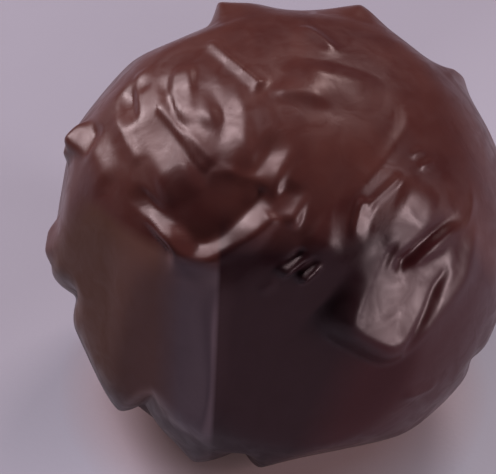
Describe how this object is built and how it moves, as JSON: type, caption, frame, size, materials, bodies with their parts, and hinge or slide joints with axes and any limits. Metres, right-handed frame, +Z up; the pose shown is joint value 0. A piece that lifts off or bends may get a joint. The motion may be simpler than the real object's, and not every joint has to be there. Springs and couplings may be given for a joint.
{
  "type": "chocolate truffle",
  "caption": "Hand-rolled chocolate truffle with a satin shell, soft pinches and folds over a rounded cap, smooth walls below and a small flat foot to rest on",
  "frame": {"origin": "centre of the flat foot, under the centre of the ball the truffle was rolled from", "axes": "+Z up; the folded side with the lip faces -Y; +X is to the right of that side"},
  "size_m": [0.03, 0.0298, 0.0278],
  "materials": {
    "chocolate": "satin, tempered chocolate with soft highlights"
  },
  "bodies": {
    "root": {"truffle": "chocolate"}
  },
  "joints": []
}
